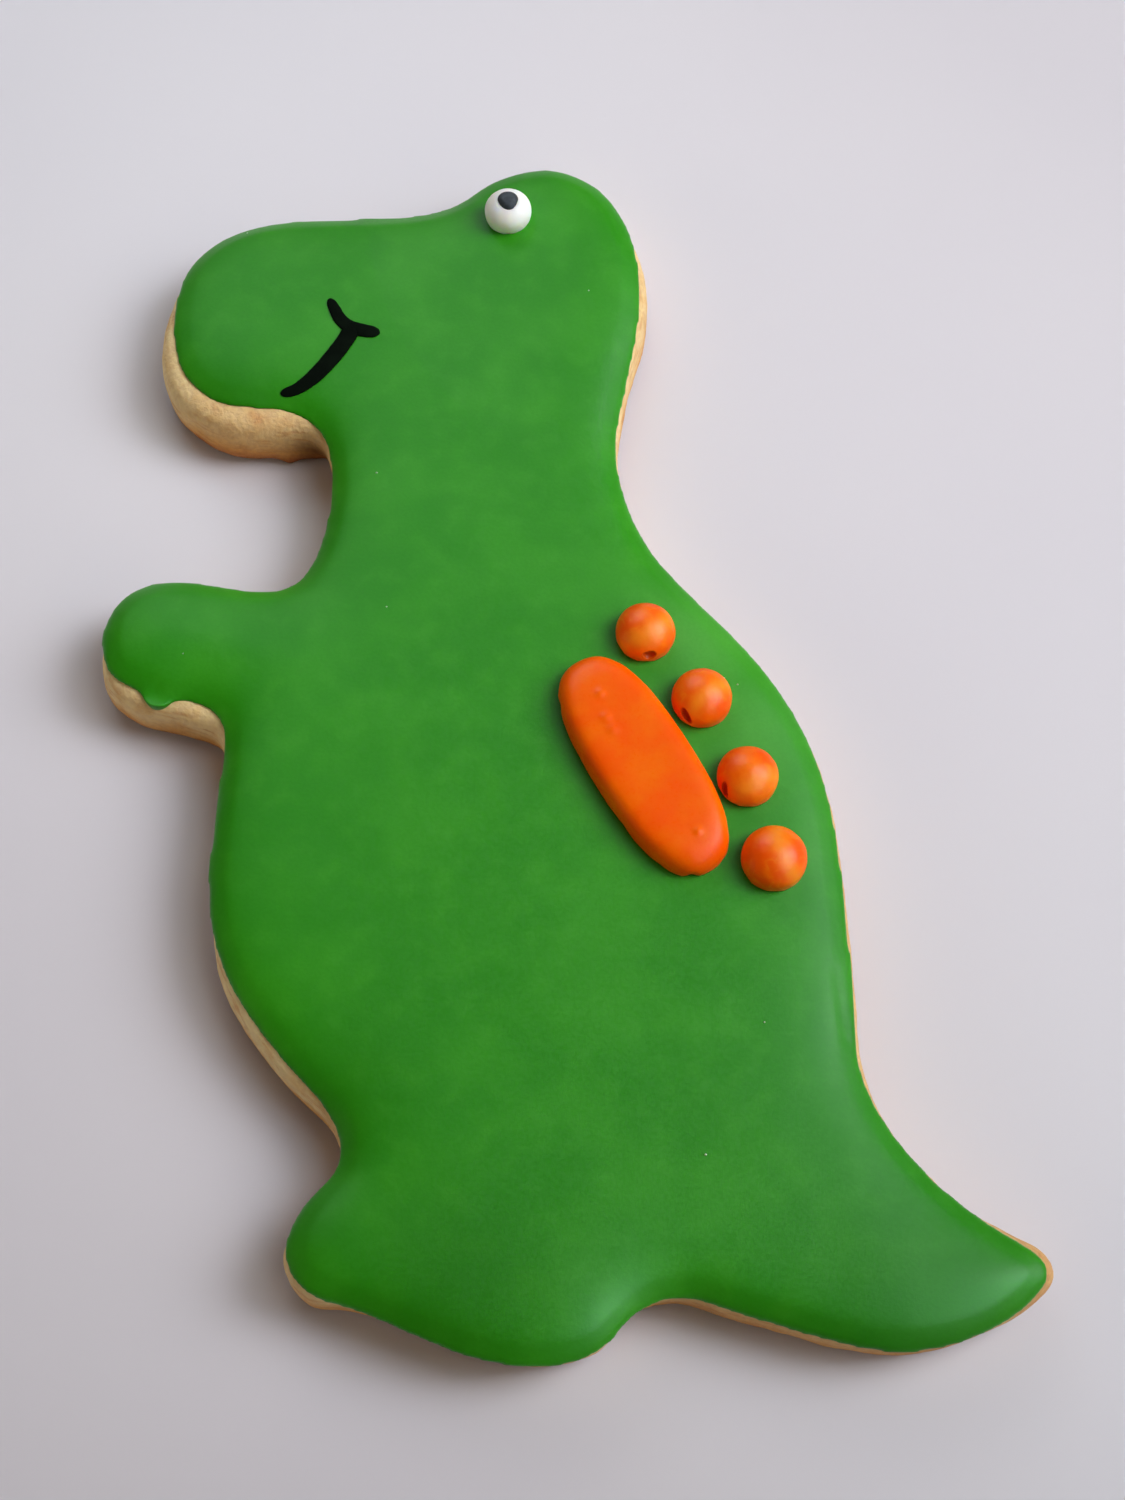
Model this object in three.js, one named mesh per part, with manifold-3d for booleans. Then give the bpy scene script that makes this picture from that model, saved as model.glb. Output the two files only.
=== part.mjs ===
// An iced sugar cookie, cut as a standing tyrannosaur seen from its left side.
//
// Millimetres, +Z up. The cookie lies on its flat baked underside with the icing up,
// the head towards +Y and the tail towards +X. The origin is under the middle of the
// cookie, at the height of the surface it lies on.

import Module from 'manifold-3d';
import * as THREE from 'three';

// ---------------------------------------------------------------- driving dimensions

const COOKIE_THICKNESS = 6;
const ICING_THICKNESS = 1.75;
const ICING_TOP = COOKIE_THICKNESS + ICING_THICKNESS;

// The cutter's outline, anticlockwise. Each point holds x, y and the width of bare
// biscuit left between the cut edge and the icing there; below 0 the icing overhangs.
const CUT_OUTLINE = {
  snout: [
    [-27.9, 51.7, 0.1],
    [-32.2, 49.9, -0.1],
    [-35.7, 46.6, 0.15],
    [-38.1, 38.3, 1.5],
  ],
  jaw: [
    [-36.5, 31.9, 1.85],
    [-31.3, 27.9, 2.1],
    [-25.7, 27.5, 2.65],
    [-22.9, 27.3, 1.6],
  ],
  throat: [
    [-20.8, 24.4, 0.1],
    [-20.4, 19.6, -0.1],
    [-22.0, 13.3, 0.05],
  ],
  arm: [
    [-24.1, 11.1, 0.65],
    [-35.3, 11.6, 0.05],
    [-39.0, 10.2, 0.05],
    [-40.9, 6.6, 0.2],
    [-40.5, 1.5, 0.75],
    [-37.5, -1.1, 1.4],
    [-34.5, -1.7, 0.95],
    [-32.6, -2.3, 2.1],
    [-30.3, -3.0, 2.1],
  ],
  belly: [
    [-29.1, -5.3, 0.3],
    [-29.6, -13.3, 0.2],
    [-29.4, -21.1, 0.25],
    [-27.6, -27.5, 0.7],
    [-23.1, -34.0, 0.9],
  ],
  foot: [
    [-18.0, -39.0, 0.45],
    [-17.1, -42.2, 0.15],
    [-20.0, -45.7, 0.0],
    [-21.8, -49.7, 0.4],
    [-19.8, -52.9, 0.35],
    [-15.7, -53.5, -0.3],
    [-5.3, -57.2, -0.65],
    [0.2, -57.8, -0.6],
    [4.2, -56.6, -0.5],
    [6.6, -53.8, -0.5],
  ],
  tail: [
    [10.5, -52.7, -0.15],
    [15.2, -54.2, 0],
    [27.0, -56.9, -0.3],
    [31.7, -56.4, -0.35],
    [35.8, -55.0, -0.2],
    [38.9, -53.3, 0.15],
    [41.2, -51.0, 0.6],
    [40.3, -49.0, 0.8],
    [37.8, -47.6, 0.9],
    [33.0, -44.4, 0.6],
    [28.5, -39.0, 0.65],
  ],
  back: [
    [26.5, -34.0, 0.75],
    [26.3, -27.2, 0.6],
    [25.1, -10.4, 0.5],
    [23.0, -3.2, 0.5],
    [19.3, 3.3, 0.5],
    [9.6, 14.8, 0.4],
  ],
  skull: [
    [7.3, 20.4, 0.4],
    [6.45, 25.5, 0.4],
    [7.3, 32.7, 0.1],
    [9.4, 40.7, 0.8],
    [9.3, 46.5, 0.75],
    [7.4, 52.1, 0.2],
    [4.6, 56.2, 0.1],
    [-0.1, 58.5, 0.25],
    [-5.9, 57.1, 0.4],
    [-9.4, 54.1, 0.2],
    [-13.1, 52.6, -0.05],
  ],
};
const OUTLINE_STEPS = 320;

// Side of the cookie: [height, how far the edge lies inside the cut outline].
const COOKIE_SIDE = [
  [0, 0.7],
  [0.5, 0.25],
  [1.6, 0],
  [3.8, 0],
  [5.2, 0.12],
  [COOKIE_THICKNESS, 0.45],
];

// Rim of the icing: [height, how far the edge lies inside the edge of the bare biscuit].
const ICING_RIM = [
  [COOKIE_THICKNESS, 0.35],
  [COOKIE_THICKNESS + 0.55, 0],
  [COOKIE_THICKNESS + 1.15, 0.25],
  [COOKIE_THICKNESS + 1.55, 0.75],
  [ICING_TOP, 1.6],
];

// The cookie's flat top starts this far inside the cut outline, and the icing stands on it.
const COOKIE_TOP_INSET = 0.5;

// The piped spots, the eye and the pupil. A dome's undercut is in degrees, and its
// squareness is 2 for an ellipse and more for fuller corners.
const SPOT = { at: [8.15, -7.65], length: 22.6, width: 8.75, height: 2.25, angle: -60, squareness: 2.6 };

const DOT_UNDERCUT = 16;
const DOTS = [
  { at: [8.6, 5.2], width: 5.4, height: 2.6 },
  { at: [13.5, -1.3], width: 5.4, height: 2.6 },
  { at: [17.3, -8.8], width: 5.4, height: 2.6 },
  { at: [19.3, -16.4], width: 5.7, height: 2.75 },
];

const EYE = { at: [-4.2, 51.3], width: 4.6, height: 2.1, undercut: 24, flatTopWidth: 2.3 };

// The pupil's outline, anticlockwise, as x and y from the middle of the eye.
const PUPIL_OUTLINE = [
  [1.0, 0.4],
  [0.45, 1.0],
  [-0.6, 0.9],
  [-1.0, 0.35],
  [-0.85, -0.3],
  [-0.3, -0.95],
  [0.35, -1.05],
  [0.75, -0.6],
];
const PUPIL_HEIGHT = 0.5;

// Piped lines of the mouth: x, y and the line's half width at that point.
const SMILE = [
  [-25.2, 31.1, 0.4],
  [-23.6, 31.8, 0.55],
  [-21.7, 33.6, 0.68],
  [-20.2, 36.0, 0.66],
  [-19.4, 37.7, 0.6],
];
const CHEEK_CREASE = [
  [-21.2, 41.0, 0.42],
  [-20.6, 39.5, 0.5],
  [-19.8, 38.4, 0.56],
  [-18.7, 37.9, 0.58],
  [-16.7, 37.5, 0.55],
];
const MOUTH_LINE_SIDE = [
  [0, 0],
  [0.25, 0],
  [0.4, 0.15],
];

const COLOURS = {
  cookie: { color: 0xc6a46c, roughness: 0.85, metalness: 0 },
  green: { color: 0x2f912b, roughness: 0.5, metalness: 0 },
  orange: { color: 0xfa6e08, roughness: 0.45, metalness: 0 },
  white: { color: 0xcfd2cf, roughness: 0.45, metalness: 0 },
  slate: { color: 0x373c43, roughness: 0.6, metalness: 0 },
  black: { color: 0x0b140a, roughness: 0.8, metalness: 0 },
};

// ----------------------------------------------------------------------- geometry

/**
 * Moves a closed anticlockwise ring inwards in short steps. Each step follows the ring's
 * own normals and then eases every point towards its neighbours' middle, so that a sharp
 * corner grows rounder instead of folding over itself.
 *
 * @param {THREE.Vector2[]} ring closed ring of points
 * @param {(index: number) => number} distanceAt how far the point of that index moves
 * @returns {THREE.Vector2[]} the new ring, with as many points
 */
function insetRing(ring, distanceAt) {
  const stepLength = 0.2;
  const easing = 0.4;
  const distances = ring.map((point, index) => distanceAt(index));
  const steps = Math.max(1, Math.ceil(Math.max(...distances) / stepLength));
  let moved = ring.map((point) => point.clone());
  for (let step = 0; step < steps; step += 1) {
    const pushed = moved.map((point, index) => {
      const before = moved.at(index - 1);
      const after = moved[(index + 1) % moved.length];
      const along = after.clone().sub(before).normalize();
      const inwards = new THREE.Vector2(-along.y, along.x);
      return point.clone().addScaledVector(inwards, distances[index] / steps);
    });
    moved = pushed.map((point, index) => {
      const middle = pushed.at(index - 1).clone().add(pushed[(index + 1) % pushed.length]);
      const share = easing * Math.min(1, Math.abs(distances[index]) / steps / stepLength);
      return point.clone().lerp(middle.multiplyScalar(0.5), share);
    });
  }
  return moved;
}

/** Lifts a flat ring of Vector2 to a height, as Vector3. */
function ringAt(ring, height) {
  return ring.map((point) => new THREE.Vector3(point.x, point.y, height));
}

/**
 * Skins a stack of rings, lowest first and all with as many points, into one closed body
 * with a flat lower and upper face.
 */
function loft(rings) {
  const count = rings[0].length;
  const topStart = count * (rings.length - 1);
  const triangles = [];
  for (let level = 0; level < rings.length - 1; level += 1) {
    for (let side = 0; side < count; side += 1) {
      const here = level * count + side;
      const next = level * count + ((side + 1) % count);
      triangles.push(here, next, next + count);
      triangles.push(here, next + count, here + count);
    }
  }
  for (const [a, b, c] of THREE.ShapeUtils.triangulateShape(rings[0], [])) {
    triangles.push(c, b, a);
  }
  for (const [a, b, c] of THREE.ShapeUtils.triangulateShape(rings.at(-1), [])) {
    triangles.push(topStart + a, topStart + b, topStart + c);
  }
  return meshGeometry(rings.flat().flatMap((point) => point.toArray()), triangles);
}

/** Makes an indexed geometry of vertex positions and triangles. */
function meshGeometry(positions, triangles) {
  const geometry = new THREE.BufferGeometry();
  geometry.setAttribute('position', new THREE.Float32BufferAttribute(positions, 3));
  geometry.setIndex([...triangles]);
  geometry.computeVertexNormals();
  return geometry;
}

/** A closed ellipse whose corners fill out as its squareness rises above 2. */
function superellipse({ length, width, squareness = 2 }, count) {
  const ring = [];
  for (let index = 0; index < count; index += 1) {
    const angle = (index / count) * 2 * Math.PI;
    const x = Math.sign(Math.cos(angle)) * Math.abs(Math.cos(angle)) ** (2 / squareness);
    const y = Math.sign(Math.sin(angle)) * Math.abs(Math.sin(angle)) ** (2 / squareness);
    ring.push(new THREE.Vector2((x * length) / 2, (y * width) / 2));
  }
  return ring;
}

/**
 * A piped dome over an outline. Its side follows a circle's arc from `undercut` degrees
 * below the widest ring up to a small flat top, `flatTop` of the outline's size.
 */
function dome(outline, { height, undercut = 0, flatTop = 0.12, levels = 6 }) {
  const lowest = -THREE.MathUtils.degToRad(undercut);
  const highest = Math.acos(flatTop);
  const rise = Math.sin(highest) - Math.sin(lowest);
  const rings = [];
  for (let level = 0; level <= levels; level += 1) {
    const angle = THREE.MathUtils.lerp(lowest, highest, level / levels);
    const scaled = outline.map((point) => point.clone().multiplyScalar(Math.cos(angle)));
    const share = level === levels ? 1 : (Math.sin(angle) - Math.sin(lowest)) / rise;
    rings.push(ringAt(scaled, share * height));
  }
  return loft(rings);
}

/** A thin piped line: a band along points of [x, y, half width], with round ends. */
function pipedLine(points) {
  const centre = new THREE.CatmullRomCurve3(points.map((point) => new THREE.Vector3(...point)));
  const edgePoint = (share, turn) => {
    const middle = centre.getPoint(share);
    const tangent = centre.getTangent(share);
    const angle = Math.atan2(tangent.y, tangent.x) + turn;
    return new THREE.Vector2(
      middle.x + middle.z * Math.cos(angle),
      middle.y + middle.z * Math.sin(angle),
    );
  };
  const quarter = Math.PI / 2;
  const shares = Array.from({ length: 17 }, (_, index) => index / 16);
  const turns = Array.from({ length: 5 }, (_, index) => ((index + 1) / 6) * Math.PI);
  const ring = [
    ...shares.map((share) => edgePoint(share, -quarter)),
    ...turns.map((turn) => edgePoint(1, turn - quarter)),
    ...shares.toReversed().map((share) => edgePoint(share, quarter)),
    ...turns.map((turn) => edgePoint(0, turn + quarter)),
  ];
  return loft(MOUTH_LINE_SIDE.map(([height, inset]) => ringAt(insetRing(ring, () => inset), height)));
}

// --------------------------------------------------------------------- sub-parts

const cutPoints = Object.values(CUT_OUTLINE).flat();
const cutCurve = new THREE.CatmullRomCurve3(
  cutPoints.map(([x, y, bare]) => new THREE.Vector3(x, y, bare)),
  true,
);
cutCurve.arcLengthDivisions = 10 * OUTLINE_STEPS;
// The closed curve repeats its first point at the end, which slice leaves out.
const cutSamples = cutCurve.getSpacedPoints(OUTLINE_STEPS).slice(0, -1);
const cutRing = cutSamples.map((sample) => new THREE.Vector2(sample.x, sample.y));

/** The baked dough: upright cut sides that round over at the top and at the base. */
function cookieGeometry() {
  return loft(COOKIE_SIDE.map(([height, inset]) => ringAt(insetRing(cutRing, () => inset), height)));
}

/** The flooded icing: a skin with a round rim, whose lowest ring stands on the flat top. */
function icingGeometry() {
  return loft(ICING_RIM.map(([height, inset], level) => {
    const leastInset = level === 0 ? COOKIE_TOP_INSET : -Infinity;
    const ring = insetRing(cutRing, (index) => Math.max(cutSamples[index].z + inset, leastInset));
    return ringAt(ring, height);
  }));
}

/** The mouth: the smile and the crease of the cheek, run together where they meet. */
async function mouthGeometry() {
  const manifold = await Module();
  manifold.setup();
  const [smile, crease] = [SMILE, CHEEK_CREASE].map((points) => {
    const geometry = pipedLine(points);
    return new manifold.Manifold(new manifold.Mesh({
      numProp: 3,
      vertProperties: geometry.attributes.position.array,
      triVerts: new Uint32Array(geometry.index.array),
    }));
  });
  const joined = smile.add(crease).getMesh();
  return meshGeometry(joined.vertProperties, joined.triVerts);
}

// ------------------------------------------------------------------------- object

const cookieWithIcing = new THREE.Group();
cookieWithIcing.name = 'iced_sugar_cookie';

/** Adds a named mesh of one colour, placed at [x, y] and turned about the upright. */
function addPiece(name, geometry, colour, { at = [0, 0], height = 0, angle = 0 } = {}) {
  const mesh = new THREE.Mesh(geometry, new THREE.MeshStandardMaterial(colour));
  mesh.name = name;
  mesh.position.set(at[0], at[1], height);
  mesh.rotation.z = THREE.MathUtils.degToRad(angle);
  cookieWithIcing.add(mesh);
}

addPiece('cookie', cookieGeometry(), COLOURS.cookie);
addPiece('icing_green', icingGeometry(), COLOURS.green);

addPiece('spot_oval', dome(superellipse(SPOT, 48), SPOT), COLOURS.orange, {
  at: SPOT.at,
  height: ICING_TOP,
  angle: SPOT.angle,
});

DOTS.forEach(({ at, width, height }, index) => {
  const geometry = dome(superellipse({ length: width, width }, 24), { height, undercut: DOT_UNDERCUT });
  addPiece(`dot_${index + 1}`, geometry, COLOURS.orange, { at, height: ICING_TOP });
});

const eyeOutline = superellipse({ length: EYE.width, width: EYE.width }, 24);
const eyeDome = dome(eyeOutline, { ...EYE, flatTop: EYE.flatTopWidth / EYE.width });
addPiece('eye_white', eyeDome, COLOURS.white, { at: EYE.at, height: ICING_TOP });

const pupilCurve = new THREE.CatmullRomCurve3(
  PUPIL_OUTLINE.map(([x, y]) => new THREE.Vector3(x, y)),
  true,
);
const pupilRing = pupilCurve.getSpacedPoints(24).slice(0, -1).map(({ x, y }) => new THREE.Vector2(x, y));
addPiece('eye_pupil', dome(pupilRing, { height: PUPIL_HEIGHT, flatTop: 0.6, levels: 3 }), COLOURS.slate, {
  at: EYE.at,
  height: ICING_TOP + EYE.height,
});

addPiece('mouth_line', await mouthGeometry(), COLOURS.black, { height: ICING_TOP });

export default cookieWithIcing;
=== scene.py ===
"""Dresses the solids of an iced sugar cookie as the real thing.

The cookie is a rolled and cut dough, browned underneath, flooded with green royal icing.
Orange icing spots, a dome eye and a black mouth are piped on top. Everything is in metres,
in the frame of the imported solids: +Z up, the head towards +Y, the tail towards +X.
"""

import sys

import logging
import math
from contextlib import contextmanager
from dataclasses import dataclass
from enum import Enum
from typing import Iterator

import bpy
import numpy as np
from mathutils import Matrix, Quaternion, Vector
from mathutils.bvhtree import BVHTree


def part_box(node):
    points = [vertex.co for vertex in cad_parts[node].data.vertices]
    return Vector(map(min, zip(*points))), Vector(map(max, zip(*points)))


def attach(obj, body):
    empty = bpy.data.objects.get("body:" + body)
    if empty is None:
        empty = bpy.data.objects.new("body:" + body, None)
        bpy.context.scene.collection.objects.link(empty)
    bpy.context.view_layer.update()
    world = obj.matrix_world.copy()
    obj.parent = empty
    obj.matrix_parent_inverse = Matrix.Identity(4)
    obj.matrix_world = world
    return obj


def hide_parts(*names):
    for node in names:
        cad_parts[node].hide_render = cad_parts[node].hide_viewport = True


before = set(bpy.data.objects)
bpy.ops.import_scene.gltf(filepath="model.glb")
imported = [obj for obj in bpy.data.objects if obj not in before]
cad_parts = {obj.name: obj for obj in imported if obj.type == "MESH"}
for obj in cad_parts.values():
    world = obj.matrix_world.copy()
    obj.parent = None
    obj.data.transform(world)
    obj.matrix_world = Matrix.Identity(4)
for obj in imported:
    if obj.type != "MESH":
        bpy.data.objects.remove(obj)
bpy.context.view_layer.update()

MM = 0.001
COOKIE_TOP = 6.0 * MM
ICING_THICKNESS = 1.75 * MM
ICING_TOP = COOKIE_TOP + ICING_THICKNESS

log = logging.getLogger("cookie")

Colour = tuple[float, float, float, float]
Point = tuple[float, float, float]


# ------------------------------------------------------------------ working by hand


def select_only(*pieces: bpy.types.Object) -> None:
    """Selects these pieces and nothing else, and makes the first one active.

    Args:
        pieces: the objects that the next operator works on.
    """
    bpy.ops.object.select_all(action="DESELECT")
    for piece in pieces:
        piece.select_set(True)
    bpy.context.view_layer.objects.active = pieces[0]


@contextmanager
def edit_mode(piece: bpy.types.Object) -> Iterator[None]:
    """Opens a piece in edit mode with all of it selected.

    Args:
        piece: the mesh or curve object to edit.
    """
    select_only(piece)
    bpy.ops.object.mode_set(mode="EDIT")
    select_all = bpy.ops.mesh if piece.type == "MESH" else bpy.ops.curve
    select_all.select_all(action="SELECT")
    try:
        yield
    finally:
        bpy.ops.object.mode_set(mode="OBJECT")


def finish_with(piece: bpy.types.Object, kind: str, **settings: object) -> None:
    """Adds one modifier to a piece and applies it.

    Args:
        piece: the object to change.
        kind: the modifier's type.
        settings: the modifier's properties by name.
    """
    select_only(piece)
    modifier = piece.modifiers.new(kind.title(), kind)
    for key, value in settings.items():
        setattr(modifier, key, value)
    bpy.ops.object.modifier_apply(modifier=modifier.name)


def roughen(piece: bpy.types.Object, kind: str, size: float, height: float, **settings: object) -> None:
    """Pushes a skin in and out by a procedural texture.

    Args:
        piece: the object to change.
        kind: the texture's type, such as CLOUDS.
        size: the length of one bump, in metres.
        height: the height from the lowest to the highest point, in metres.
        settings: more properties of the displacement, by name.
    """
    texture = bpy.data.textures.new(f"{piece.name}_{kind.lower()}", kind)
    texture.noise_scale = size
    finish_with(piece, "DISPLACE", texture=texture, strength=height, texture_coords="LOCAL", **settings)
    bpy.data.textures.remove(texture)


def points_of(piece: bpy.types.Object) -> np.ndarray:
    """Reads a piece's vertices.

    Args:
        piece: the mesh object.

    Returns:
        One row of x, y, z for each vertex.
    """
    flat = np.empty(len(piece.data.vertices) * 3)
    piece.data.vertices.foreach_get("co", flat)
    return flat.reshape(-1, 3)


def move_points(piece: bpy.types.Object, points: np.ndarray) -> None:
    """Puts a piece's vertices at new places.

    Args:
        piece: the mesh object to change.
        points: one row of x, y, z for each vertex.
    """
    piece.data.vertices.foreach_set("co", points.astype(np.float32).ravel())
    piece.data.update()


def smoothstep(values: np.ndarray, low: float, high: float) -> np.ndarray:
    """Returns 0 below low, 1 above high and an even S between."""
    share = np.clip((values - low) / (high - low), 0, 1)
    return share * share * (3 - 2 * share)


def weigh(piece: bpy.types.Object, name: str, weights: np.ndarray) -> str:
    """Stores a weight for every vertex as a vertex group.

    Args:
        piece: the mesh object.
        name: the group's name.
        weights: a share from 0 to 1 for each vertex.

    Returns:
        The group's name, for a modifier.
    """
    group = piece.vertex_groups.new(name=name)
    steps = np.round(np.clip(weights, 0, 1) * 50) / 50
    for step in np.unique(steps[steps > 0]):
        group.add([int(index) for index in np.flatnonzero(steps == step)], float(step), "REPLACE")
    return name


def store(piece: bpy.types.Object, name: str, values: np.ndarray) -> None:
    """Stores one number for every vertex, for the material to read.

    Args:
        piece: the mesh object.
        name: the attribute's name.
        values: a number for each vertex.
    """
    attribute = piece.data.attributes.new(name, "FLOAT", "POINT")
    attribute.data.foreach_set("value", values.astype(np.float32))


def copy_of(node: str, name: str) -> bpy.types.Object:
    """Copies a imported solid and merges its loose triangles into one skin.

    Args:
        node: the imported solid's name.
        name: the copy's name.

    Returns:
        The copy, which rides on nothing yet.
    """
    select_only(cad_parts[node])
    bpy.ops.object.duplicate()
    piece = bpy.context.active_object
    piece.name = piece.data.name = name
    piece.parent = None
    for key in [key for key in piece.keys() if key.startswith("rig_")]:
        del piece[key]
    piece.data.materials.clear()
    with edit_mode(piece):
        bpy.ops.mesh.remove_doubles(threshold=0.001 * MM)
    return piece


def rim_segments(piece: bpy.types.Object, height: float) -> np.ndarray:
    """Finds the edges of a merged solid that lie at one height.

    Args:
        piece: the merged copy of a solid.
        height: the height of the ring of edges, in metres.

    Returns:
        The ends of each edge as an array of shape (edges, 2, 2), in x and y.
    """
    points = points_of(piece)
    ends = np.empty(len(piece.data.edges) * 2, dtype=np.int64)
    piece.data.edges.foreach_get("vertices", ends)
    pairs = points[ends.reshape(-1, 2)]
    level = np.all(np.abs(pairs[:, :, 2] - height) < 0.01 * MM, axis=1)
    return pairs[level][:, :, :2]


def distance_to(segments: np.ndarray, points: np.ndarray) -> np.ndarray:
    """Measures how far points lie from the nearest of many segments, seen from above.

    Args:
        segments: the ends of each segment, of shape (segments, 2, 2).
        points: rows that start with x and y.

    Returns:
        The distance of each point, in metres.
    """
    start = segments[:, 0]
    along = segments[:, 1] - start
    length = np.maximum((along**2).sum(1), 1e-18)
    nearest = []
    for part in np.array_split(points[:, :2], max(1, len(points) // 4000)):
        offset = part[:, None] - start[None]
        share = np.clip((offset * along).sum(2) / length, 0, 1)
        nearest.append(np.sqrt(((offset - share[..., None] * along) ** 2).sum(2).min(1)))
    return np.concatenate(nearest)


def egg(at: Vector, size: Vector, turn: Quaternion) -> bpy.types.Object:
    """Adds an egg-shaped tool for a boolean.

    Args:
        at: its middle, in metres.
        size: its full length, width and depth, in metres.
        turn: how it is turned.

    Returns:
        The tool.
    """
    bpy.ops.object.select_all(action="DESELECT")
    bpy.ops.mesh.primitive_uv_sphere_add(segments=32, ring_count=16, radius=0.5, location=at, scale=size)
    tool = bpy.context.active_object
    tool.rotation_euler = turn.to_euler()
    return tool


def cut_or_join(piece: bpy.types.Object, tool: bpy.types.Object, operation: str) -> None:
    """Applies a tool to a piece and removes the tool.

    Args:
        piece: the piece to change.
        tool: the closed mesh that is cut away or joined.
        operation: DIFFERENCE or UNION.
    """
    finish_with(piece, "BOOLEAN", operation=operation, object=tool, solver="EXACT")
    bpy.data.objects.remove(tool)


def heights_of(ground: bpy.types.Object, points: np.ndarray, missing: float) -> np.ndarray:
    """Measures how high a piece's top lies at some places.

    Args:
        ground: the piece to measure.
        points: rows that start with x and y.
        missing: the height to give where the piece isn't there, in metres.

    Returns:
        The height at each point, in metres.
    """
    tree = BVHTree.FromObject(ground, bpy.context.evaluated_depsgraph_get())
    hits = (tree.ray_cast(Vector((row[0], row[1], 50 * MM)), Vector((0, 0, -1)))[0] for row in points)
    return np.array([hit.z if hit else missing for hit in hits])


def settle(piece: bpy.types.Object, ground: bpy.types.Object, base: float, reach: float, sink: float) -> None:
    """Lets the underside of a piece follow the ground that it was piped on.

    Args:
        piece: the piece that lies on the ground.
        ground: the piece underneath.
        base: the height that the piece was modelled on, in metres.
        reach: how far above its base the piece still follows, in metres; 0 is all of it.
        sink: how deep the underside bonds into the ground, in metres.
    """
    points = points_of(piece)
    share = np.ones(len(points)) if reach == 0 else np.clip(1 - (points[:, 2] - base) / reach, 0, 1)
    points[:, 2] += (heights_of(ground, points, base) - base - sink) * share
    move_points(piece, points)


def regain(piece: bpy.types.Object, node: str) -> None:
    """Swells a smoothed piece back to the width of its solid.

    Args:
        piece: the piece that smoothing has shrunk.
        node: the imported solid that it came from.
    """
    low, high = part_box(node)
    points = points_of(piece)
    lost = (high - low) - (Vector(points.max(0)) - Vector(points.min(0)))
    finish_with(piece, "DISPLACE", strength=(lost.x + lost.y) / 4, mid_level=0.0)


def hand_over(piece: bpy.types.Object, material: bpy.types.Material, slot: str, *nodes: str) -> None:
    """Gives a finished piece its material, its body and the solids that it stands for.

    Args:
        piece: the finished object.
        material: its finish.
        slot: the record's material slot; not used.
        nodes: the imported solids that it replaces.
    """
    piece.data.materials.clear()
    piece.data.materials.append(material)
    select_only(piece)
    bpy.ops.object.shade_smooth()
    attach(piece, "root")
    if nodes:
        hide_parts(*nodes)
    piece.data.calc_loop_triangles()
    log.info("%s: %d triangles", piece.name, len(piece.data.loop_triangles))


# ------------------------------------------------------------------------- finishes


def srgb(code: str) -> Colour:
    """Turns an sRGB hex colour into linear light.

    Args:
        code: the colour, such as "#2E8B22".

    Returns:
        Red, green, blue and an alpha of 1.
    """
    channels = [int(code[place : place + 2], 16) / 255 for place in (1, 3, 5)]
    linear = [c / 12.92 if c <= 0.04045 else ((c + 0.055) / 1.055) ** 2.4 for c in channels]
    return (*linear, 1.0)


def add_node(
    tree: bpy.types.NodeTree, kind: str, feeds: dict | None = None, **settings: object
) -> bpy.types.Node:
    """Adds a node, sets it up and feeds its sockets.

    Args:
        tree: the material's node tree.
        kind: the node's type, without "ShaderNode".
        feeds: for each input's name or place, a value or the output that feeds it.
        settings: the node's own properties by name.

    Returns:
        The new node.
    """
    node = tree.nodes.new(f"ShaderNode{kind}")
    for key, value in settings.items():
        setattr(node, key, value)
    for key, value in (feeds or {}).items():
        if isinstance(value, bpy.types.NodeSocket):
            tree.links.new(value, node.inputs[key])
        else:
            node.inputs[key].default_value = value
    return node


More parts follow.
